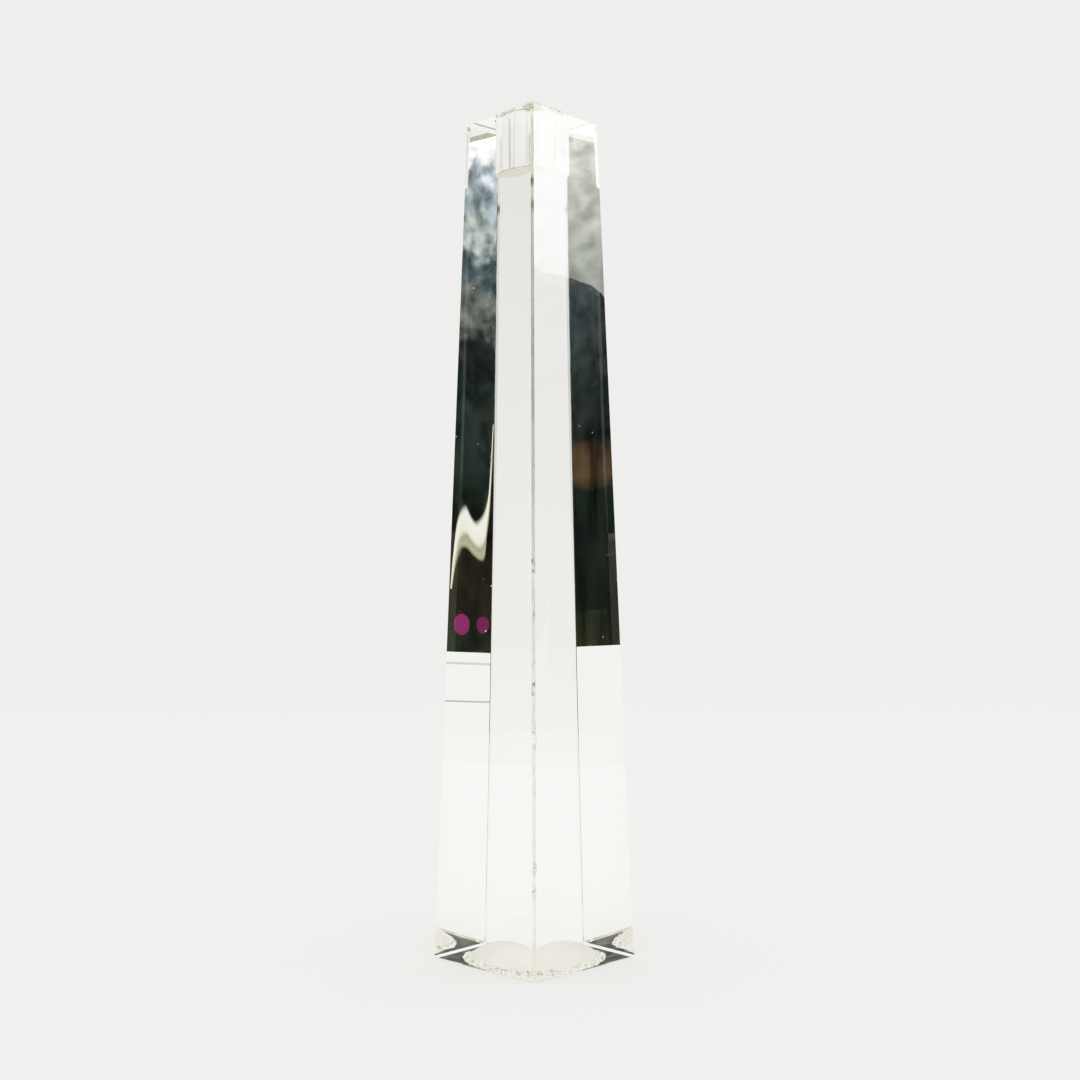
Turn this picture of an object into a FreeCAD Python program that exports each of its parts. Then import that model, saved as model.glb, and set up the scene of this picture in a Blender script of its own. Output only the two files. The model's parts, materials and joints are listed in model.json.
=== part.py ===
import FreeCAD, Part
import math
import os

# A tapered square column cut and polished from one block of clear crystal, in millimetres.
# It stands on its wide end. The origin is the middle of the base, +Z is up, and the four
# faces look along +X, -X, +Y and -Y.

# Block
HEIGHT = 300.0
BASE_SIDE = 50.8
TOP_SIDE = 34.0
UPRIGHT_BEVEL = 0.8         # leg of the bevel on the four long edges
BASE_BEVEL = 0.5            # leg of the bevel round the base
TOP_BEVEL = 1.1             # leg of the bevel round the top

# Blind socket in the top face, for the peg of a topper
SOCKET_RADIUS = 9.0
SOCKET_DEPTH = 20.5
SOCKET_MOUTH_BEVEL = 0.5
SOCKET_FLOOR_RADIUS = 0.8   # rounding between the wall and the flat floor

# Ground hollow in the base: a shallow dome above a flared rim
HOLLOW_RADIUS = 17.9
HOLLOW_RISE = 6.2           # from the top of the rim to the crown of the dome
RIM_RADIUS = 20.5
RIM_RISE = 0.7

UP = FreeCAD.Vector(0, 0, 1)
ORIGIN = FreeCAD.Vector(0, 0, 0)
FULL_TURN = 360.0
HALF_RIGHT_ANGLE = math.radians(45)


def square_corners(side, z):
    """The four corners of a level square, in order around the axis."""
    half = side / 2
    signs = [(-1, -1), (1, -1), (1, 1), (-1, 1)]
    return [FreeCAD.Vector(x * half, y * half, z) for x, y in signs]


def flat_face(corners):
    """A flat face whose outside is the side that sees the corners turn anticlockwise."""
    return Part.Face(Part.makePolygon(corners + corners[:1]))


def bevelled(block, leg, low, high):
    """The block with a bevel along every edge whose middle is between heights low and high."""
    edges = [edge for edge in block.Edges if low <= edge.BoundBox.Center.z <= high]
    return block.makeChamfer(leg, edges)


def tapered_block():
    """The block with its four tapering faces, and a bevel along every edge."""
    base = square_corners(BASE_SIDE, 0)
    top = square_corners(TOP_SIDE, HEIGHT)
    faces = [flat_face(base[::-1]), flat_face(top)]
    for side in range(4):
        after = (side + 1) % 4
        faces.append(flat_face([base[side], base[after], top[after], top[side]]))
    block = Part.makeSolid(Part.makeShell(faces))
    block = bevelled(block, UPRIGHT_BEVEL, HEIGHT / 3, HEIGHT * 2 / 3)
    block = bevelled(block, BASE_BEVEL, -1, 1)
    return bevelled(block, TOP_BEVEL, HEIGHT - 1, HEIGHT + 1)


def turned(edges):
    """The solid that a closed half outline in the XZ plane makes when it turns about Z."""
    outline = Part.Face(Part.Wire(edges))
    return outline.revolve(ORIGIN, UP, FULL_TURN)


def outline_points(pairs):
    return [FreeCAD.Vector(x, 0, z) for x, z in pairs]


def line(start, end):
    return Part.LineSegment(*outline_points((start, end))).toShape()


def arc(start, middle, end):
    return Part.Arc(*outline_points((start, middle, end))).toShape()


def top_socket():
    """The space inside the socket, from its rounded floor corner to its bevelled mouth."""
    floor = HEIGHT - SOCKET_DEPTH
    mouth = SOCKET_RADIUS + SOCKET_MOUTH_BEVEL
    round_start = (SOCKET_RADIUS - SOCKET_FLOOR_RADIUS, floor)
    round_end = (SOCKET_RADIUS, floor + SOCKET_FLOOR_RADIUS)
    inset = SOCKET_FLOOR_RADIUS * math.sin(HALF_RIGHT_ANGLE)
    round_middle = (round_start[0] + inset, round_end[1] - inset)
    bevel_start = (SOCKET_RADIUS, HEIGHT - SOCKET_MOUTH_BEVEL)
    return turned([
        line((0, floor), round_start),
        arc(round_start, round_middle, round_end),
        line(round_end, bevel_start),
        line(bevel_start, (mouth, HEIGHT)),
        line((mouth, HEIGHT), (0, HEIGHT)),
        line((0, HEIGHT), (0, floor)),
    ])


def base_hollow():
    """The space inside the hollow: a spherical cap that flares out at its rim."""
    sphere_radius = (HOLLOW_RADIUS ** 2 + HOLLOW_RISE ** 2) / (2 * HOLLOW_RISE)
    crown = RIM_RISE + HOLLOW_RISE
    centre = crown - sphere_radius
    half_angle = math.asin(HOLLOW_RADIUS / sphere_radius) / 2
    middle = (sphere_radius * math.sin(half_angle), centre + sphere_radius * math.cos(half_angle))
    rim_top = (HOLLOW_RADIUS, RIM_RISE)
    return turned([
        line((0, 0), (RIM_RADIUS, 0)),
        line((RIM_RADIUS, 0), rim_top),
        arc(rim_top, middle, (0, crown)),
        line((0, crown), (0, 0)),
    ])


def crystal_column():
    return tapered_block().cut(top_socket()).cut(base_hollow())


def main():
    os.makedirs("parts", exist_ok=True)
    column = crystal_column()
    print("crystal_column", "valid", column.isValid(), "solids", len(column.Solids))
    print("volume in cm3", round(column.Volume / 1000, 2), "box", column.BoundBox)
    column.Solids[0].exportStep("parts/crystal_column.step")


main()
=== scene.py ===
import json
import math

import bmesh
import bpy
from mathutils import Matrix, Vector, noise


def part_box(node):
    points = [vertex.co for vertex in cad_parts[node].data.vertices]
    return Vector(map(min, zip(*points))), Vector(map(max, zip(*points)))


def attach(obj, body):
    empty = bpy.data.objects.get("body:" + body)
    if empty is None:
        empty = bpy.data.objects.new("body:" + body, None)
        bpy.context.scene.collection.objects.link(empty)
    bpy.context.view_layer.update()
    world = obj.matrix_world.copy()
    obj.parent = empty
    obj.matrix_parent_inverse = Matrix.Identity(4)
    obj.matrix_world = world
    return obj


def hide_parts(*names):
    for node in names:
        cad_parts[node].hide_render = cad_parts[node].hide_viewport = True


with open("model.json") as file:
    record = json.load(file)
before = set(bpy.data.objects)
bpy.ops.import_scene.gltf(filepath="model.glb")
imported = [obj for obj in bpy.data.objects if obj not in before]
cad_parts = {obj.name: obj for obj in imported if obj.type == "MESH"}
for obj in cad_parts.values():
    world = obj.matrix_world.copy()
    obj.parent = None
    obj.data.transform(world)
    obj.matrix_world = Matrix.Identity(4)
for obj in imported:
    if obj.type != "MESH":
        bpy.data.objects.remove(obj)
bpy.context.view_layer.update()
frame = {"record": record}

# The crystal column, in metres, in the frame of the CAD model: the origin is the middle of the
# base, +Z is up and the faces look along +X, -X, +Y and -Y.

NODE = "crystal_column"
MM = 0.001

# ---------------------------------------------------------------- sizes
LOW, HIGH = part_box(NODE)
HEIGHT = HIGH.z - LOW.z
UPRIGHT_BEVEL = 0.8 * MM
BASE_BEVEL = 0.5 * MM
TOP_BEVEL = 1.1 * MM
TOP_SIDE = 34.0 * MM
BASE_SIDE = 50.8 * MM
TAPER = (TOP_SIDE - BASE_SIDE) / 2 / HEIGHT

SOCKET = next(m for m in frame["record"]["mounts"] if m["name"] == "topper_socket")
SOCKET_RADIUS = SOCKET["dims"]["r_mm"] * MM
SOCKET_DEPTH = 20.5 * MM
SOCKET_MOUTH_BEVEL = 0.5 * MM
SOCKET_FLOOR_RADIUS = 0.8 * MM

HOLLOW_RADIUS = 17.9 * MM
HOLLOW_RISE = 6.2 * MM
RIM_RADIUS = 20.5 * MM
RIM_RISE = 0.7 * MM

CRYSTAL_IOR = 1.517
CRYSTAL_SHADE = (0.84, 0.84, 0.83, 1.0)    # how much light each face lets through to the floor

# wear: nicks along the long edges, flakes round the rim of the hollow
EDGE_WEAR = (1.0, 0.12, 0.0, 0.12)     # how worn each long edge is, from +X -Y and anticlockwise
WORN_UP_TO = 0.15
NICK_DEPTH = 1.6 * MM
NICK_RIPPLE = 0.02 * MM
NICK_MOST_BACK = 0.2 * MM              # how far a nick may narrow the bevel
FLAKE_DEPTH = 1.3 * MM
FLAKE_RIPPLE = 0.7 * MM

LONG_STEPS = 88           # steps along a face's edge
BEVEL_STEPS = 4           # steps across a vertical bevel
ROWS = 560                # steps up a vertical bevel
FADE_ROWS = 3.5           # rows over which the nicks fade out at both ends


# ---------------------------------------------------------------- mesh of the crystal
def half_side(z):
    """Half the width between two opposite faces at height z."""
    return BASE_SIDE / 2 + TAPER * z


def inner_cut(leg):
    """How much of each corner is still cut off on the inner side of an end bevel with this leg."""
    return UPRIGHT_BEVEL - (2 - math.sqrt(2)) * leg


def square_loop(half, cut, z):
    """Points round a square with its corners cut off, face by face and corner by corner."""
    points = []
    for quarter in range(4):
        turn = Matrix.Rotation(math.radians(90) * quarter, 3, "Z")
        start = Vector((-half + cut, -half, z))
        end = Vector((half - cut, -half, z))
        corner = Vector((half, -half + cut, z))
        points += [turn @ start.lerp(end, i / LONG_STEPS) for i in range(LONG_STEPS)]
        points += [turn @ end.lerp(corner, i / BEVEL_STEPS) for i in range(BEVEL_STEPS)]
    return points


POLAR = [math.atan2(p.y, p.x) for p in square_loop(1.0, UPRIGHT_BEVEL / TOP_SIDE, 0.0)]


def ring(radius, z):
    return [Vector((radius * math.cos(a), radius * math.sin(a), z)) for a in POLAR]


def hollow_rings():
    """Rings from the crown of the ground hollow down to the top of its rim."""
    sphere = (HOLLOW_RADIUS ** 2 + HOLLOW_RISE ** 2) / (2 * HOLLOW_RISE)
    centre = RIM_RISE + HOLLOW_RISE - sphere
    whole = math.asin(HOLLOW_RADIUS / sphere)
    steps = 28
    angles = [whole * i / steps for i in range(steps + 1)]
    return [ring(sphere * math.sin(a), centre + sphere * math.cos(a)) for a in angles]


def rim_rings():
    """The flared rim, with its foot on the base plane and small flakes broken out of it."""
    rings = []
    steps = 7
    for i in range(1, steps + 1):
        t = i / steps
        loop = []
        for angle in POLAR:
            chip = noise.noise(Vector((9 * math.cos(angle), 9 * math.sin(angle), 2.3 * t)))
            fine = noise.noise(Vector((31 * math.cos(angle), 31 * math.sin(angle), 9 * t)))
            flake = FLAKE_DEPTH * max(chip, -0.4) + FLAKE_RIPPLE * fine
            radius = HOLLOW_RADIUS + (RIM_RADIUS - HOLLOW_RADIUS) * t + flake * t
            z = RIM_RISE * (1 - t) + FLAKE_DEPTH * abs(fine) * math.sin(math.pi * t)
            loop.append(Vector((radius * math.cos(angle), radius * math.sin(angle), z)))
        rings.append(loop)
    return rings


def socket_rings():
    """Rings from the mouth of the socket to the middle of its floor."""
    floor = HEIGHT - SOCKET_DEPTH
    rings = [ring(SOCKET_RADIUS + SOCKET_MOUTH_BEVEL, HEIGHT)]
    rings.append(ring(SOCKET_RADIUS, HEIGHT - SOCKET_MOUTH_BEVEL))
    rings.append(ring(SOCKET_RADIUS, floor + SOCKET_FLOOR_RADIUS))
    steps = 8
    for i in range(1, steps + 1):
        turn = math.radians(90) * i / steps
        radius = SOCKET_RADIUS - SOCKET_FLOOR_RADIUS * (1 - math.cos(turn))
        z = floor + SOCKET_FLOOR_RADIUS * (1 - math.sin(turn))
        rings.append(ring(radius, z))
    rings.append(ring(0.0, floor))
    return rings


def nick(quarter, z, side):
    """How far a flake at height z widens the bevel after this face, towards its low or high side."""
    wear = EDGE_WEAR[quarter] if z < WORN_UP_TO else 0.0
    seed = 13.7 * quarter + 5.1 * side
    broad = noise.noise(Vector((z * 120, seed, 0.0))) - 0.25
    fine = noise.noise(Vector((z * 900, seed, 4.0)))
    return wear * (NICK_DEPTH * max(broad, 0.0) * (1 + fine) + NICK_RIPPLE * fine)


def bevel_strip(quarter):
    """The rows of one vertical bevel, from bottom to top, with small nicks along both its edges."""
    turn = Matrix.Rotation(math.radians(90) * quarter, 3, "Z")
    rows = []
    for i in range(ROWS + 1):
        z = BASE_BEVEL + (HEIGHT - TOP_BEVEL - BASE_BEVEL) * i / ROWS
        half = half_side(z)
        fade = min(1.0, i / FADE_ROWS, (ROWS - i) / FADE_ROWS)
        low = UPRIGHT_BEVEL + fade * max(nick(quarter, z, 0), -NICK_MOST_BACK)
        high = UPRIGHT_BEVEL + fade * max(nick(quarter, z, 1), -NICK_MOST_BACK)
        start = Vector((half - low, -half, z))
        end = Vector((half, -half + high, z))
        rows.append([turn @ start.lerp(end, k / BEVEL_STEPS) for k in range(BEVEL_STEPS + 1)])
    return rows


class Surface:
    """Collects faces and their materials, then makes one closed mesh of them."""

    def __init__(self):
        self.mesh = bmesh.new()

    def points(self, loop):
        return [self.mesh.verts.new(p) for p in loop]

    def face(self, corners, material, smooth=False):
        made = self.mesh.faces.new(corners)
        made.material_index = material
        made.smooth = smooth

    def strip(self, low, high, material, smooth=False, closed=True):
        """Faces between two loops of the same number of points."""
        count = len(low) if closed else len(low) - 1
        for i in range(count):
            j = (i + 1) % len(low)
            self.face([low[i], low[j], high[j], high[i]], material, smooth)


POLISHED, BEVELLED, GROUND, CHIPPED, BORED, SCUFFED = range(6)


def crystal_mesh():
    """The whole block as one closed mesh, worked from the hollow outwards and up to the socket."""
    surface = Surface()

    # ground hollow and its rim, out to the base plane
    loops = [surface.points(loop) for loop in hollow_rings()]
    for inner, outer in zip(loops, loops[1:]):
        surface.strip(outer, inner, GROUND, smooth=True)
    rim = [loops[-1]] + [surface.points(loop) for loop in rim_rings()]
    for inner, outer in zip(rim, rim[1:]):
        surface.strip(outer, inner, CHIPPED)

    # base plane, then its bevel
    base_edge = surface.points(square_loop(half_side(0) - BASE_BEVEL, inner_cut(BASE_BEVEL), 0.0))
    surface.strip(base_edge, rim[-1], SCUFFED)
    low_loop = surface.points(square_loop(half_side(BASE_BEVEL), UPRIGHT_BEVEL, BASE_BEVEL))
    surface.strip(low_loop, base_edge, SCUFFED)

    # top plane, its bevel and the socket
    top_z = HEIGHT - TOP_BEVEL
    high_loop = surface.points(square_loop(half_side(top_z), UPRIGHT_BEVEL, top_z))
    top_edge = surface.points(square_loop(half_side(HEIGHT) - TOP_BEVEL, inner_cut(TOP_BEVEL), HEIGHT))
    surface.strip(top_edge, high_loop, BEVELLED)
    socket = [surface.points(loop) for loop in socket_rings()]
    surface.strip(socket[0], top_edge, POLISHED)
    for i, (outer, inner) in enumerate(zip(socket, socket[1:])):
        last = i == len(socket) - 2
        surface.strip(inner, outer, GROUND if last else BORED, smooth=0 < i and not last)

    # vertical bevels, and the four faces between them
    strips = [[surface.points(row) for row in bevel_strip(q)] for q in range(4)]
    for rows in strips:
        for low, high in zip(rows, rows[1:]):
            surface.strip(low, high, BEVELLED, closed=False)
    span = LONG_STEPS + BEVEL_STEPS
    for quarter in range(4):
        foot = low_loop[quarter * span:quarter * span + LONG_STEPS + 1]
        head = high_loop[quarter * span:quarter * span + LONG_STEPS + 1]
        right = [row[0] for row in strips[quarter]]
        left = [row[-1] for row in strips[quarter - 1]]
        surface.face(foot + right + head[::-1] + left[::-1], POLISHED)

    mesh = surface.mesh
    bmesh.ops.remove_doubles(mesh, verts=mesh.verts, dist=1e-7)
    bmesh.ops.dissolve_degenerate(mesh, edges=mesh.edges, dist=1e-8)
    bmesh.ops.recalc_face_normals(mesh, faces=mesh.faces)
    made = bpy.data.meshes.new("crystal")
    mesh.to_mesh(made)
    mesh.free()
    return made


# ---------------------------------------------------------------- materials
class Nodes:
    """A small helper that makes nodes and links in one tree."""

    def __init__(self, tree):
        self.tree = tree
        tree.nodes.clear()

    def add(self, kind):
        return self.tree.nodes.new(kind)

    def link(self, source, target):
        self.tree.links.new(source, target)

    def feed(self, value, target):
        """Sets an input to a value, or links a socket to it."""
        if isinstance(value, bpy.types.NodeSocket):
            self.link(value, target)
        else:
            target.default_value = value


def new_material(name):
    material = bpy.data.materials.new(name)
    material.use_nodes = True
    return material, Nodes(material.node_tree)


def show(nodes, surface):
    """Ends a material's tree with this shader socket."""
    output = nodes.add("ShaderNodeOutputMaterial")
    nodes.link(surface, output.inputs["Surface"])


def mix_shaders(nodes, factor, first, second):
    mix = nodes.add("ShaderNodeMixShader")
    nodes.link(factor, mix.inputs[0])
    nodes.link(first, mix.inputs[1])
    nodes.link(second, mix.inputs[2])
    return mix.outputs[0]


def glass_output(nodes, shader):
    """Lets soft light through the crystal, so that it throws no solid shadow on the floor."""
    path = nodes.add("ShaderNodeLightPath")
    clear = nodes.add("ShaderNodeBsdfTransparent")
    clear.inputs["Color"].default_value = CRYSTAL_SHADE
    surface = shader.outputs[0]
    for ray in ("Is Shadow Ray", "Is Diffuse Ray"):
        surface = mix_shaders(nodes, path.outputs[ray], surface, clear.outputs[0])
    show(nodes, surface)


def crystal_shader(nodes, color, roughness):
    shader = nodes.add("ShaderNodeBsdfPrincipled")
    shader.inputs["Base Color"].default_value = (*color, 1.0)
    shader.inputs["Roughness"].default_value = roughness
    shader.inputs["IOR"].default_value = CRYSTAL_IOR
    shader.inputs["Transmission Weight"].default_value = 1.0
    return shader


def grain(nodes, scale, detail=2.0, stretch=(1.0, 1.0, 1.0)):
    """Noise in the object's own space, between 0 and 1."""
    place = nodes.add("ShaderNodeTexCoord")
    mapping = nodes.add("ShaderNodeMapping")
    mapping.inputs["Scale"].default_value = stretch
    cloud = nodes.add("ShaderNodeTexNoise")
    cloud.inputs["Scale"].default_value = scale
    cloud.inputs["Detail"].default_value = detail
    nodes.link(place.outputs["Object"], mapping.inputs["Vector"])
    nodes.link(mapping.outputs["Vector"], cloud.inputs["Vector"])
    return cloud.outputs[0]


def calculate(nodes, operation, first, second):
    made = nodes.add("ShaderNodeMath")
    made.operation = operation
    nodes.link(first, made.inputs[0])
    nodes.link(second, made.inputs[1])
    return made.outputs[0]


def spread(nodes, source, span, target):
    """Maps source from one span to another, both (low, high), and clamps it there."""
    mapped = nodes.add("ShaderNodeMapRange")
    mapped.inputs["From Min"].default_value = span[0]
    mapped.inputs["From Max"].default_value = span[1]
    mapped.inputs["To Min"].default_value = target[0]
    mapped.inputs["To Max"].default_value = target[1]
    nodes.link(source, mapped.inputs["Value"])
    return mapped.outputs["Result"]


def color_stops(nodes, factor, stops):
    """The colour at factor, between stops that are (place from 0 to 1, colour)."""
    ramp = nodes.add("ShaderNodeValToRGB")
    elements = ramp.color_ramp.elements
    for i, (spot, color) in enumerate(stops):
        element = elements[i] if i < 2 else elements.new(spot)
        element.position = spot
        element.color = (*color, 1.0)
    nodes.link(factor, ramp.inputs["Fac"])
    return ramp.outputs["Color"]


def blend_colors(nodes, factor, low, high):
    return color_stops(nodes, factor, ((0.0, low), (1.0, high)))


def height_at(nodes, space="Object"):
    """The Z part of the place on an object, or of the direction on the world."""
    place = nodes.add("ShaderNodeTexCoord")
    split = nodes.add("ShaderNodeSeparateXYZ")
    nodes.link(place.outputs[space], split.inputs[0])
    return split.outputs["Z"]


def rough_up(nodes, shader, height, strength, distance):
    """Gives the shader's surface fine bumps."""
    bump = nodes.add("ShaderNodeBump")
    bump.inputs["Strength"].default_value = strength
    bump.inputs["Distance"].default_value = distance
    nodes.link(height, bump.inputs["Height"])
    nodes.link(bump.outputs["Normal"], shader.inputs["Normal"])


def polished_material():
    """Polished faces, with the faint smears that a cloth leaves on them and a few specks of dust."""
    material, nodes = new_material("polished_crystal")
    shader = crystal_shader(nodes, (1.0, 0.997, 0.985), 0.0)
    smears = grain(nodes, scale=55.0, detail=3.0, stretch=(1.0, 1.0, 0.35))
    nodes.link(spread(nodes, smears, (0.52, 0.75), (0.0, 0.03)), shader.inputs["Roughness"])
    place = nodes.add("ShaderNodeTexCoord")
    specks = nodes.add("ShaderNodeTexVoronoi")
    specks.inputs["Scale"].default_value = 110.0
    nodes.link(place.outputs["Object"], specks.inputs["Vector"])
    clean = spread(nodes, specks.outputs["Distance"], (0.020, 0.035), (0.0, 1.0))
    nodes.link(clean, shader.inputs["Transmission Weight"])
    glass_output(nodes, shader)
    return material


def bevelled_material():
    """Finely ground bevels, with painted reflections, light and dark, in bands up their height."""
    material, nodes = new_material("bevelled_crystal")
    shader = crystal_shader(nodes, (0.9, 0.88, 0.84), 0.2)
    up = spread(nodes, height_at(nodes), (0.0, HEIGHT), (0.0, 1.0))
    # painted reflections by height: cream low down, greyer and darker higher up, a near-black line near
    # the top and olive at the very top
    stops = (
        (0.00, (0.90, 0.88, 0.76)), (0.44, (0.84, 0.82, 0.70)), (0.53, (0.62, 0.61, 0.58)),
        (0.70, (0.44, 0.41, 0.37)), (0.897, (0.66, 0.61, 0.57)), (0.899, (0.05, 0.03, 0.02)),
        (0.909, (0.05, 0.03, 0.02)), (0.911, (0.80, 0.72, 0.62)), (0.985, (0.84, 0.78, 0.70)),
        (0.997, (0.76, 0.74, 0.55)), (1.00, (0.76, 0.74, 0.55)),
    )
    nodes.link(color_stops(nodes, up, stops), shader.inputs["Base Color"])
    streaks = grain(nodes, scale=900.0, detail=3.0, stretch=(1.0, 1.0, 0.25))
    nodes.link(spread(nodes, streaks, (0.35, 0.65), (0.08, 0.22)), shader.inputs["Roughness"])
    rough_up(nodes, shader, streaks, strength=0.25, distance=0.1 * MM)
    glass_output(nodes, shader)
    return material


def ground_material():
    """Matt, finely pitted crystal: the wall of the hollow and the floor of the socket."""
    material, nodes = new_material("ground_crystal")
    shader = crystal_shader(nodes, (0.97, 0.96, 0.91), 0.6)
    shader.inputs["Transmission Weight"].default_value = 0.6
    clouds = grain(nodes, scale=160.0, detail=4.0)
    tint = blend_colors(nodes, clouds, (0.70, 0.665, 0.53), (0.89, 0.86, 0.74))
    nodes.link(tint, shader.inputs["Base Color"])
    nodes.link(spread(nodes, clouds, (0.3, 0.7), (0.5, 0.7)), shader.inputs["Roughness"])
    rough_up(nodes, shader, grain(nodes, scale=2600.0), strength=0.4, distance=0.1 * MM)
    glass_output(nodes, shader)
    return material


def scuffed_material():
    """The base, hazed in streaks by standing on tables."""
    material, nodes = new_material("scuffed_crystal")
    shader = crystal_shader(nodes, (0.86, 0.85, 0.70), 0.03)
    streaks = grain(nodes, scale=170.0, detail=4.0, stretch=(1.0, 0.45, 1.0))
    clarity = spread(nodes, streaks, (0.40, 0.66), (0.98, 0.80))
    nodes.link(clarity, shader.inputs["Transmission Weight"])
    nodes.link(spread(nodes, streaks, (0.40, 0.70), (0.0, 0.06)), shader.inputs["Roughness"])
    glass_output(nodes, shader)
    return material


def bored_material():
    """The drilled wall of the socket, nearly clear, with fine upright marks."""
    material, nodes = new_material("bored_crystal")
    shader = crystal_shader(nodes, (1.0, 0.995, 0.975), 0.1)
    shader.inputs["Transmission Weight"].default_value = 0.85
    marks = grain(nodes, scale=700.0, detail=3.0, stretch=(1.0, 1.0, 0.02))
    stain = spread(nodes, marks, (0.30, 0.42), (0.0, 1.0))
    tint = blend_colors(nodes, stain, (0.70, 0.58, 0.48), (1.0, 0.995, 0.975))
    nodes.link(tint, shader.inputs["Base Color"])
    nodes.link(spread(nodes, marks, (0.35, 0.65), (0.02, 0.16)), shader.inputs["Roughness"])
    rough_up(nodes, shader, marks, strength=0.15, distance=0.1 * MM)
    glass_output(nodes, shader)
    return material


def chipped_material():
    """Fresh, shell-shaped breaks round the rim, part shiny and part dusty."""
    material, nodes = new_material("chipped_crystal")
    shader = crystal_shader(nodes, (0.99, 0.985, 0.95), 0.05)
    flakes = spread(nodes, grain(nodes, scale=420.0), (0.42, 0.58), (0.0, 1.0))
    tint = blend_colors(nodes, flakes, (0.40, 0.34, 0.13), (1.0, 0.99, 0.92))
    nodes.link(tint, shader.inputs["Base Color"])
    clouds = grain(nodes, scale=700.0, detail=3.0)
    nodes.link(spread(nodes, clouds, (0.4, 0.65), (0.0, 0.35)), shader.inputs["Roughness"])
    rough_up(nodes, shader, grain(nodes, scale=1500.0), strength=0.5, distance=0.2 * MM)
    glass_output(nodes, shader)
    return material


def add_object(name, data):
    made = bpy.data.objects.new(name, data)
    bpy.context.scene.collection.objects.link(made)
    return made


def make_crystal():
    """The crystal, with its materials in the order of their indices above."""
    crystal = add_object("crystal", crystal_mesh())
    kinds = (polished_material, bevelled_material, ground_material)
    kinds += (chipped_material, bored_material, scuffed_material)
    for make in kinds:
        crystal.data.materials.append(make())
    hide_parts(NODE)
    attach(crystal, "root")


# ---------------------------------------------------------------- studio
VIEW = Vector((-1, 1, 0)).normalized()       # the camera looks this way, corner on
RIGHT = Vector((1, 1, 0)).normalized()
UP = Vector((0, 0, 1))
TABLE_LEFT, TABLE_RIGHT = 1.06, 0.996     # the table ends this far to either side of the column
TABLE_FRONT = 0.30        # its nearer part starts this far in front of it, towards the camera
TABLE_REACH = 6.0
FLOOR_FADE = (0.2, 2.0)   # this far behind the column it fades into the white
AIR_FILM = 0.1 * MM       # between the crystal's base and the table
PAPER_EDGES_AND_SHADOWS = (           # two sheets' edges on the table, to the right, with the soft shadow along each painted in as a darker strip: near side, far side, colour
    (0.618, 0.628, (0.56, 0.53, 0.62)),
    (0.880, 0.902, (0.72, 0.71, 0.65)),
)
PANEL_DISTANCE = 1.3      # from the column to the dim panels at its sides
PANEL_HALF = 0.115        # half their width
PANEL_FOOT = -0.036       # the panels start a little below the table top
PANEL_TOP = 0.80
FAR_WHITE, HIGH_WHITE = 1.02, 0.88     # the surround at the horizon and some way up
BACKDROP_WHITE = 0.95                  # the surround as the camera meets it directly
FLOOR_WHITE = (0.80, 0.795, 0.775)     # the table as the crystal shows it
FLOOR_SHOWN = (0.69, 0.688, 0.676)     # and as the camera meets it
FLOOR_DIM = (0.36, 0.35, 0.27)         # and in light that has turned many times in the crystal: painted shade
FRONT_DIM = (0.05, 0.05, 0.04)         # the same painted shade, for the part in front of the column
FRONT_ROOM = (0.012, 0.012, 0.010, 1.0)    # the room behind the camera
WHITE_TINT = (1.0, 0.996, 0.972, 1.0)
PLUM = (0.28, 0.025, 0.14)
PLUM_BALLS = (            # along, height, radius and brightness
    (-0.045, 0.004, 0.0125, 1.0),
    (-0.018, 0.004, 0.0100, 0.65),
)
FRONT_DISTANCE = 1.4      # from the column to the dark panel behind the camera
LEFT_BANDS = (            # heights and colours of the left-hand panel's bands
    (-0.034, (0.024, 0.026, 0.013)),
    (0.014, (0.016, 0.020, 0.009)),
    (0.019, (0.016, 0.040, 0.010)),
    (0.022, (0.006, 0.010, 0.007)),
    (0.178, (0.008, 0.014, 0.010)),
    (0.196, (0.095, 0.060, 0.028)),
    (0.225, (0.090, 0.055, 0.026)),
    (0.241, (0.005, 0.010, 0.009)),
    (0.314, (0.013, 0.022, 0.019)),
    (0.395, (0.008, 0.016, 0.016)),
    (0.467, (0.024, 0.034, 0.030)),
)
RIGHT_BANDS = (           # and of the right-hand one's
    (-0.034, (0.010, 0.016, 0.009)),
    (0.061, (0.013, 0.009, 0.005)),
    (0.160, (0.007, 0.013, 0.009)),
    (0.259, (0.022, 0.032, 0.026)),
    (0.314, (0.006, 0.012, 0.010)),
    (0.363, (0.012, 0.018, 0.016)),
    (0.404, (0.160, 0.175, 0.155)),
    (0.431, (0.170, 0.185, 0.165)),
    (0.453, (0.055, 0.090, 0.100)),
    (0.472, (0.080, 0.125, 0.140)),
    (0.503, (0.430, 0.480, 0.450)),
    (0.548, (0.320, 0.400, 0.430)),
    (0.580, (0.560, 0.640, 0.720)),
    (0.597, (1.150, 1.150, 1.080)),
    (0.612, (2.400, 2.400, 2.200)),
)
SOFTBOX_FOOT = (          # the sloping line where the softbox starts above the right-hand panel
    (-PANEL_HALF, 0.614), (-0.010, 0.614), (0.0015, 0.607), (0.032, 0.598),
    (0.060, 0.587), (0.074, 0.575), (PANEL_HALF, 0.508),
)

# a pale cloth hangs in a fold beyond the table: the upper and lower line of what shows, in mm,
# as (along, height)
CLOTH_TOP = (
    (-60, 49), (-57, 91), (-52, 135), (-43, 153), (-35, 140),
    (-28, 133), (-19, 144), (-14, 164), (-12, 190), (-9, 261),
)
CLOTH_FOOT = (
    (-58, 49), (-54, 77), (-48, 99), (-40, 100), (-31, 91),
    (-22, 85), (-17, 89), (-15, 114), (-11, 160), (-8, 261),
)


def stage_mesh(name, corners, material):
    mesh = bpy.data.meshes.new(name)
    mesh.from_pydata([tuple(c) for c in corners], [], [tuple(range(len(corners)))])
    made = add_object(name, mesh)
    made.data.materials.append(material)
    return made


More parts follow.
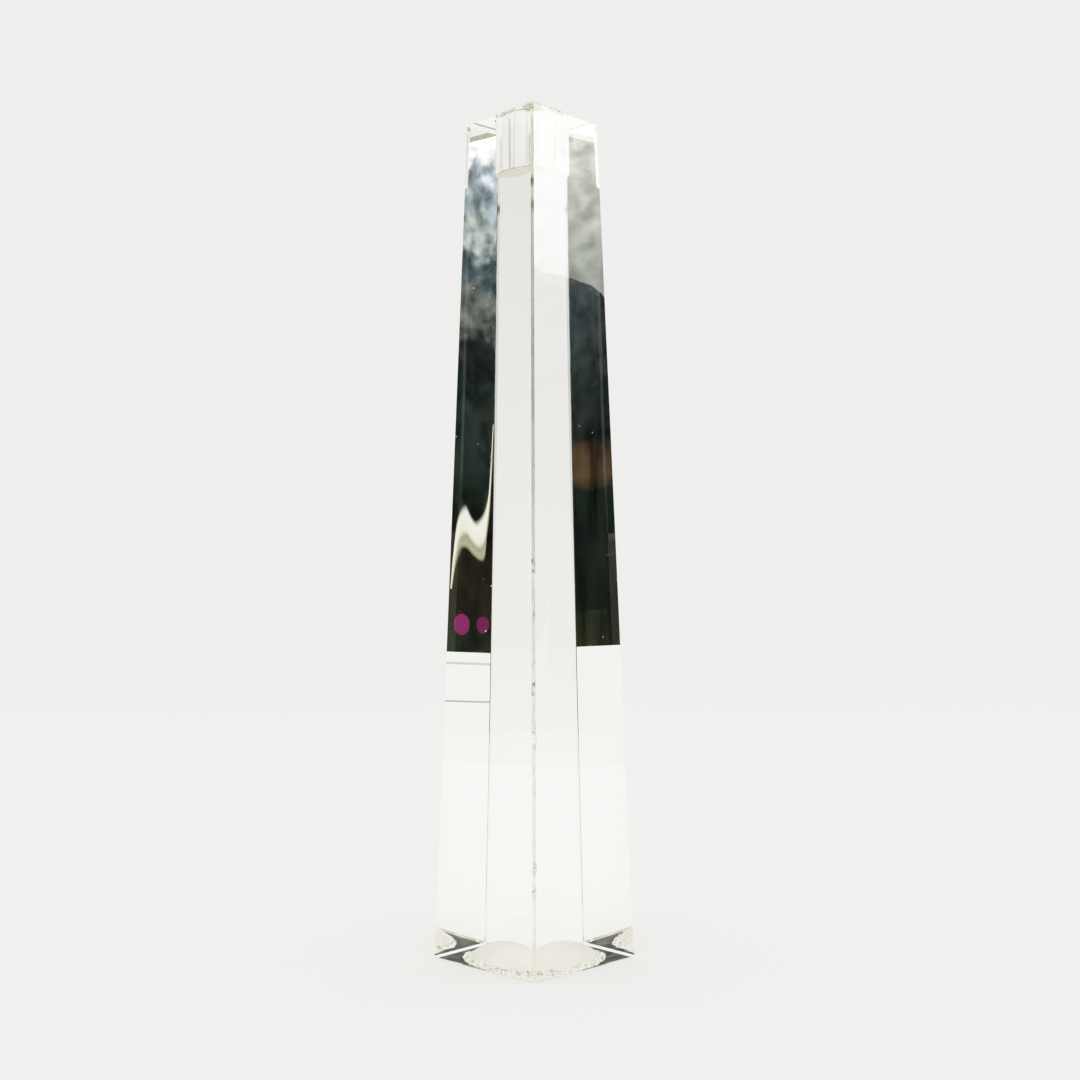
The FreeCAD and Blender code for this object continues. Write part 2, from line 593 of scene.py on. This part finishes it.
def hide_panel(made):
    """Only reflections and refractions meet it."""
    made.visible_camera = False
    made.visible_diffuse = False
    made.visible_shadow = False


def panel(name, middle, across, outline, material):
    """A hidden upright panel. Its outline is given in metres as (along, height) pairs."""
    corners = [middle + across * along + UP * height for along, height in outline]
    hide_panel(stage_mesh(name, corners, material))


def oblong(half, low, high):
    return [(-half, low), (half, low), (half, high), (-half, high)]


def disc(along, height, radius):
    """Points round a slightly upright oval."""
    turns = [math.radians(15) * i for i in range(24)]
    return [(along + 0.8 * radius * math.cos(t), height + 1.1 * radius * math.sin(t)) for t in turns]


def smooth_line(knots):
    """A smooth line through knots, which are (along, height) pairs in mm."""
    knots = [Vector(k) * MM for k in knots]
    steps = 8
    line = []
    for before, start, end, after in zip([knots[0]] + knots, knots, knots[1:], knots[2:] + [knots[-1]]):
        for i in range(steps):
            t = i / steps
            bend = (end - before) * t + (before * 2 - start * 5 + end * 4 - after) * t ** 2
            line.append(start + (bend + (start * 3 - before - end * 3 + after) * t ** 3) / 2)
    return [tuple(point) for point in line + [knots[-1]]]


def emitter(nodes, color, strength=1.0):
    """An even glow. Its color and strength may each be a value or a socket."""
    shader = nodes.add("ShaderNodeEmission")
    nodes.feed(color, shader.inputs["Color"])
    nodes.feed(strength, shader.inputs["Strength"])
    return shader.outputs[0]


def plain_glow(name, color, strength=1.0):
    material, nodes = new_material(name)
    show(nodes, emitter(nodes, (*color, 1.0), strength))
    return material


def cloth_material():
    """Pale cloth out of focus: white along its upper edge, shaded below and soft at both edges."""
    material, nodes = new_material("hanging_cloth")
    band = nodes.add("ShaderNodeAttribute")
    band.attribute_name = "down"
    down = band.outputs["Fac"]
    stops = ((0.0, (0.70, 0.70, 0.60)), (0.20, (1.10, 1.07, 0.92)), (0.55, (0.98, 0.95, 0.80)),
             (0.70, (0.42, 0.42, 0.31)), (0.86, (0.52, 0.50, 0.34)), (1.0, (0.30, 0.27, 0.14)))
    cloth = emitter(nodes, color_stops(nodes, down, stops))
    upper = spread(nodes, down, (0.0, 0.14), (0.0, 1.0))
    lower = spread(nodes, down, (0.92, 1.0), (1.0, 0.0))
    gap = nodes.add("ShaderNodeBsdfTransparent")
    solid = calculate(nodes, "MULTIPLY", upper, lower)
    show(nodes, mix_shaders(nodes, solid, gap.outputs[0], cloth))
    return material


def hang_cloth(middle, across):
    """A band between two smooth lines. Its "down" attribute runs from 0 at the top line to 1."""
    lines = (smooth_line(CLOTH_TOP), smooth_line(CLOTH_FOOT))
    steps = 12
    corners, faces, down = [], [], []
    for start, end in zip(*lines):
        for k in range(steps + 1):
            along, height = Vector(start).lerp(Vector(end), 1.1 * k / steps - 0.1)
            corners.append(tuple(middle + across * along + UP * height))
            down.append(k / steps)
    for i in range(len(lines[0]) - 1):
        for k in range(steps):
            low = i * (steps + 1) + k
            faces.append((low, low + 1, low + steps + 2, low + steps + 1))
    mesh = bpy.data.meshes.new("hanging_cloth")
    mesh.from_pydata(corners, [], faces)
    mesh.attributes.new("down", "FLOAT", "POINT").data.foreach_set("value", down)
    mesh.materials.append(cloth_material())
    cloth = add_object("hanging_cloth", mesh)
    hide_panel(cloth)


def softbox_material():
    """A bright cloth front, a little uneven."""
    material, nodes = new_material("softbox")
    climb = spread(nodes, height_at(nodes), (0.59, 0.76), (5.6, 10.5))
    uneven = spread(nodes, grain(nodes, scale=48.0, detail=4.0), (0.35, 0.65), (0.72, 1.28))
    strength = calculate(nodes, "MULTIPLY", climb, uneven)
    show(nodes, emitter(nodes, (0.97, 1.0, 0.88, 1.0), strength))
    return material


def dim_room_material(name, stops, warp, warp_scale, patch_scale, stretch, patches):
    """Soft bands of dim colour, at stops that are (height in metres, colour).

    The bands wander up and down by warp, and patches are the strengths of the darkest and
    brightest clouds.
    """
    material, nodes = new_material(name)
    low, high = PANEL_FOOT - warp, PANEL_TOP + warp
    swing = spread(nodes, grain(nodes, warp_scale, 4.0), (0.3, 0.7), (-warp, warp))
    shifted = calculate(nodes, "ADD", height_at(nodes), swing)
    bands = [((height - low) / (high - low), color) for height, color in stops]
    color = color_stops(nodes, spread(nodes, shifted, (low, high), (0.0, 1.0)), bands)
    clouds = grain(nodes, patch_scale, 4.0, stretch)
    show(nodes, emitter(nodes, color, spread(nodes, clouds, (0.35, 0.65), patches)))
    return material


def front_room_material():
    """The dark room behind the camera, met only by light that has been reflected twice or more."""
    material, nodes = new_material("front_room")
    path = nodes.add("ShaderNodeLightPath")
    gap = nodes.add("ShaderNodeBsdfTransparent")
    turned = spread(nodes, path.outputs["Glossy Depth"], (1.0, 2.0), (0.0, 1.0))
    show(nodes, mix_shaders(nodes, turned, gap.outputs[0], emitter(nodes, FRONT_ROOM)))
    return material


def white_level(nodes, seen_in_crystal):
    """How bright the white surround is: a little dimmer where the camera meets it directly."""
    path = nodes.add("ShaderNodeLightPath")
    level = nodes.add("ShaderNodeMix")
    nodes.link(path.outputs["Is Camera Ray"], level.inputs[0])
    nodes.feed(seen_in_crystal, level.inputs[2])
    level.inputs[3].default_value = BACKDROP_WHITE
    return level.outputs[0]


def floor_material(name, turns, dim):
    """A plain pale table top, whose far end fades into the white behind it.

    Its colour is painted darker, as painted shade, in light that has been reflected at least this many
    times.
    """
    material, nodes = new_material(name)
    path = nodes.add("ShaderNodeLightPath")
    # painted shade: the table's colour darkens once light has turned this many times
    turned = spread(nodes, path.outputs["Glossy Depth"], (turns - 1.0, turns), (0.0, 0.5))
    seen = calculate(nodes, "ADD", turned, path.outputs["Is Camera Ray"])
    stops = ((0.0, FLOOR_WHITE), (0.5, dim), (1.0, FLOOR_SHOWN))
    pale = nodes.add("ShaderNodeBsdfDiffuse")
    nodes.link(color_stops(nodes, seen, stops), pale.inputs["Color"])
    far = emitter(nodes, WHITE_TINT, white_level(nodes, FAR_WHITE))
    place = nodes.add("ShaderNodeTexCoord")
    depth = nodes.add("ShaderNodeVectorMath")
    depth.operation = "DOT_PRODUCT"
    depth.inputs[1].default_value = VIEW
    nodes.link(place.outputs["Object"], depth.inputs[0])
    fade = spread(nodes, depth.outputs["Value"], FLOOR_FADE, (0.0, 1.0))
    show(nodes, mix_shaders(nodes, fade, pale.outputs[0], far))
    return material


def make_floor():
    """The table top, and wings beside it that only the camera meets."""
    table = floor_material("table", turns=3.0, dim=FLOOR_DIM)
    near_table = floor_material("near_table", turns=2.0, dim=FRONT_DIM)
    spans = (
        ("floor", -TABLE_LEFT, TABLE_RIGHT, -TABLE_FRONT, TABLE_REACH),
        ("floor_left", -TABLE_REACH, -TABLE_LEFT, -TABLE_REACH, TABLE_REACH),
        ("floor_right", TABLE_RIGHT, TABLE_REACH, -TABLE_REACH, TABLE_REACH),
        ("floor_front", -TABLE_LEFT, TABLE_RIGHT, -TABLE_REACH, -TABLE_FRONT),
    )
    for name, left, right, near, far in spans:
        ends = ((left, near), (right, near), (right, far), (left, far))
        corners = [RIGHT * x + VIEW * y - UP * AIR_FILM for x, y in ends]
        made = stage_mesh(name, corners, near_table if name == "floor_front" else table)
        if name in ("floor_left", "floor_right"):
            made.visible_glossy = False
            made.visible_transmission = False


def make_side_rooms():
    """A dim panel at each side, with a softbox above the right-hand one."""
    left_side, right_side = RIGHT * -PANEL_DISTANCE, RIGHT * PANEL_DISTANCE
    left_room = dim_room_material(
        "left_room", LEFT_BANDS, warp=0.005, warp_scale=40.0,
        patch_scale=55.0, stretch=(1.0, 1.0, 0.12), patches=(0.15, 1.5),
    )
    right_room = dim_room_material(
        "right_room", RIGHT_BANDS, warp=0.030, warp_scale=45.0,
        patch_scale=62.0, stretch=(1.0, 1.0, 0.6), patches=(0.45, 1.6),
    )
    panel("panel_left", left_side, VIEW, oblong(PANEL_HALF, PANEL_FOOT, PANEL_TOP), left_room)
    foot = list(SOFTBOX_FOOT)
    below = [(-PANEL_HALF, PANEL_FOOT), (PANEL_HALF, PANEL_FOOT)] + foot[::-1]
    panel("panel_right", right_side, VIEW, below, right_room)
    above = foot + [(PANEL_HALF, PANEL_TOP + 0.1), (-PANEL_HALF, PANEL_TOP + 0.1)]
    panel("softbox", right_side, VIEW, above, softbox_material())


def make_paper_strips_and_shadows():
    """Two narrow strips on the table, to the right: the sheets' edges, darker than the table, with
    painted shadow along them.
    """
    half_width = 0.14
    for near, far, color in PAPER_EDGES_AND_SHADOWS:
        ends = ((near, -half_width), (far, -half_width), (far, half_width), (near, half_width))
        corners = [RIGHT * x + VIEW * y for x, y in ends]
        # each strip glows darker than the table: a paper edge with painted shadow along it
        hide_panel(stage_mesh("paper_edge_and_shadow", corners, plain_glow("paper_edge_and_shadow", color)))


def make_cloth_and_balls():
    """The cloth and two balls, a little in front of the right-hand panel."""
    near_side = RIGHT * (PANEL_DISTANCE - 0.01)
    hang_cloth(near_side, VIEW)
    for along, height, radius, strength in PLUM_BALLS:
        plum = plain_glow("plum", PLUM, strength)
        panel("plum_ball", near_side, VIEW, disc(along, height, radius), plum)


def make_front_room():
    """A dark panel behind the camera."""
    outline = oblong(0.17, -0.02, 0.72)
    panel("panel_front", VIEW * -FRONT_DISTANCE, RIGHT, outline, front_room_material())


def make_world():
    """A white surround that changes a little with height and is dimmer where the camera meets it."""
    world = bpy.data.worlds.new("studio")
    bpy.context.scene.world = world
    world.use_nodes = True
    nodes = Nodes(world.node_tree)
    up = height_at(nodes, "Generated")
    low_sky = spread(nodes, up, (0.0, 0.31), (FAR_WHITE, HIGH_WHITE))
    high_sky = spread(nodes, up, (0.35, 0.80), (0.0, 0.25))
    climb = calculate(nodes, "ADD", low_sky, high_sky)
    background = nodes.add("ShaderNodeBackground")
    background.inputs["Color"].default_value = WHITE_TINT
    output = nodes.add("ShaderNodeOutputWorld")
    nodes.link(white_level(nodes, climb), background.inputs["Strength"])
    nodes.link(background.outputs[0], output.inputs["Surface"])


def make_lamp():
    """A very soft overhead light."""
    data = bpy.data.lights.new("overhead", "SUN")
    data.energy = 1.35
    data.angle = math.radians(100)
    lamp = add_object("overhead", data)
    lamp.rotation_euler = (math.radians(12), math.radians(14), 0)
    lamp.visible_glossy = False
    lamp.visible_transmission = False


def soften_highlights():
    """A gentle shoulder, as a camera has, so that bright glass keeps its lines."""
    view = bpy.context.scene.view_settings
    view.view_transform = "Standard"
    view.use_curve_mapping = True
    mapping = view.curve_mapping
    whitest = 2.0
    mapping.white_level = (whitest, whitest, whitest)
    for level, shown in ((0.2, 0.2), (0.6, 0.6), (0.8, 0.775), (1.0, 0.88), (1.3, 0.96)):
        mapping.curves[3].points.new(level / whitest, shown)
    mapping.update()


def make_camera():
    """A camera a little below the column's middle and tilted slightly up."""
    distance, height = 0.50985, 0.12228
    tilt, pan, roll = math.radians(2.870), math.radians(0.271), math.radians(-0.175)
    data = bpy.data.cameras.new("camera")
    data.sensor_width = 36.0
    data.lens = 47.38
    data.clip_start = 0.01
    camera = add_object("camera", data)
    sight = VIEW * math.cos(tilt) + UP * math.sin(tilt)
    sight = Matrix.Rotation(-pan, 3, "Z") @ sight
    aim = sight.to_track_quat("-Z", "Y").to_matrix() @ Matrix.Rotation(roll, 3, "Z")
    camera.matrix_world = Matrix.Translation(UP * height - VIEW * distance) @ aim.to_4x4()
    bpy.context.scene.camera = camera


def set_light_paths():
    """Enough bounces for light that turns many times inside the crystal."""
    cycles = bpy.context.scene.cycles
    cycles.max_bounces = 32
    cycles.glossy_bounces = 32
    cycles.transmission_bounces = 32
    cycles.transparent_max_bounces = 32
    cycles.caustics_reflective = False
    cycles.caustics_refractive = False


soften_highlights()
set_light_paths()
make_crystal()
make_floor()
make_side_rooms()
make_paper_strips_and_shadows()
make_cloth_and_balls()
make_front_room()
make_world()
make_lamp()
make_camera()
